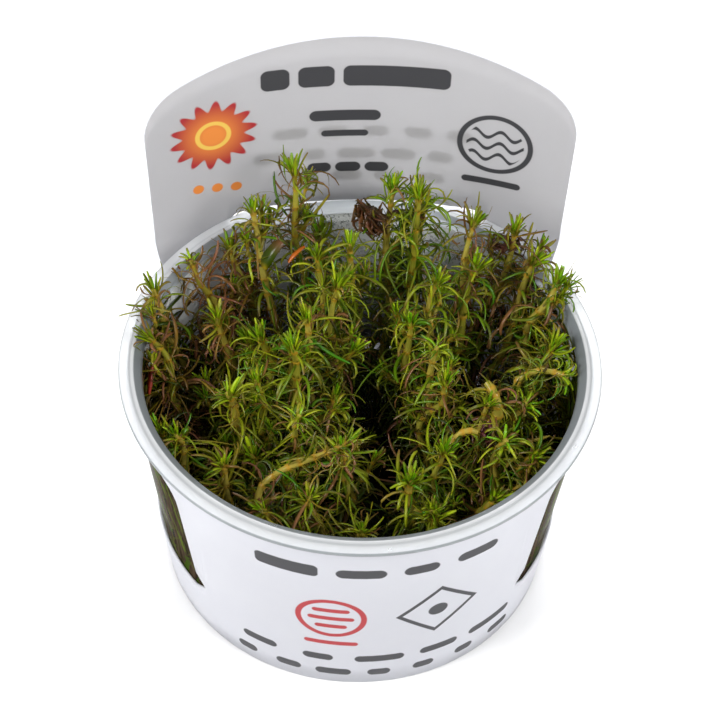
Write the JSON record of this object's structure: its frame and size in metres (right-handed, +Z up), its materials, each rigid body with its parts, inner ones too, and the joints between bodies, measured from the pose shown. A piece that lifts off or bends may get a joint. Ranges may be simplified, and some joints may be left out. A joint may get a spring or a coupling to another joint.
{
  "type": "aquarium plant in a tissue-culture cup",
  "caption": "Clump of fine-leaved stem plant growing on gel in a clear flanged cup, with a white sheet sleeve that stands up behind it as a sign.",
  "frame": {"origin": "middle of the cup's base, on the surface that it stands on", "axes": "+Z up, -Y towards the front of the cup, +X to the right seen from the front; the sign stands at the back, +Y"},
  "size_m": [0.1005, 0.1, 0.104],
  "materials": {
    "clear_plastic": "clear and glossy",
    "white_sheet": "satin white sheet with dark grey and dark red print",
    "gel": "cloudy grey gel, wet",
    "shoot": "yellow-green leaves with brown-red tips on olive stems"
  },
  "bodies": {
    "root": {"cup": "clear_plastic", "sleeve": "white_sheet", "gel": "gel", "shoot_01": "shoot", "shoot_02": "shoot", "shoot_03": "shoot", "shoot_04": "shoot", "shoot_05": "shoot", "shoot_06": "shoot", "shoot_07": "shoot", "shoot_08": "shoot", "shoot_09": "shoot", "shoot_10": "shoot", "shoot_11": "shoot", "shoot_12": "shoot", "shoot_13": "shoot", "shoot_14": "shoot", "shoot_15": "shoot", "shoot_16": "shoot", "shoot_17": "shoot", "shoot_18": "shoot", "shoot_19": "shoot", "shoot_20": "shoot", "shoot_21": "shoot", "shoot_22": "shoot", "shoot_23": "shoot", "shoot_24": "shoot", "shoot_25": "shoot", "shoot_26": "shoot", "shoot_27": "shoot", "shoot_28": "shoot", "shoot_29": "shoot", "shoot_30": "shoot", "shoot_31": "shoot", "shoot_32": "shoot", "shoot_33": "shoot", "shoot_34": "shoot", "shoot_35": "shoot", "shoot_36": "shoot", "shoot_37": "shoot", "shoot_38": "shoot", "shoot_39": "shoot", "shoot_40": "shoot", "shoot_41": "shoot", "shoot_42": "shoot", "shoot_43": "shoot", "shoot_44": "shoot", "shoot_45": "shoot", "shoot_46": "shoot", "shoot_47": "shoot", "shoot_48": "shoot", "shoot_49": "shoot", "shoot_50": "shoot"}
  },
  "joints": []
}
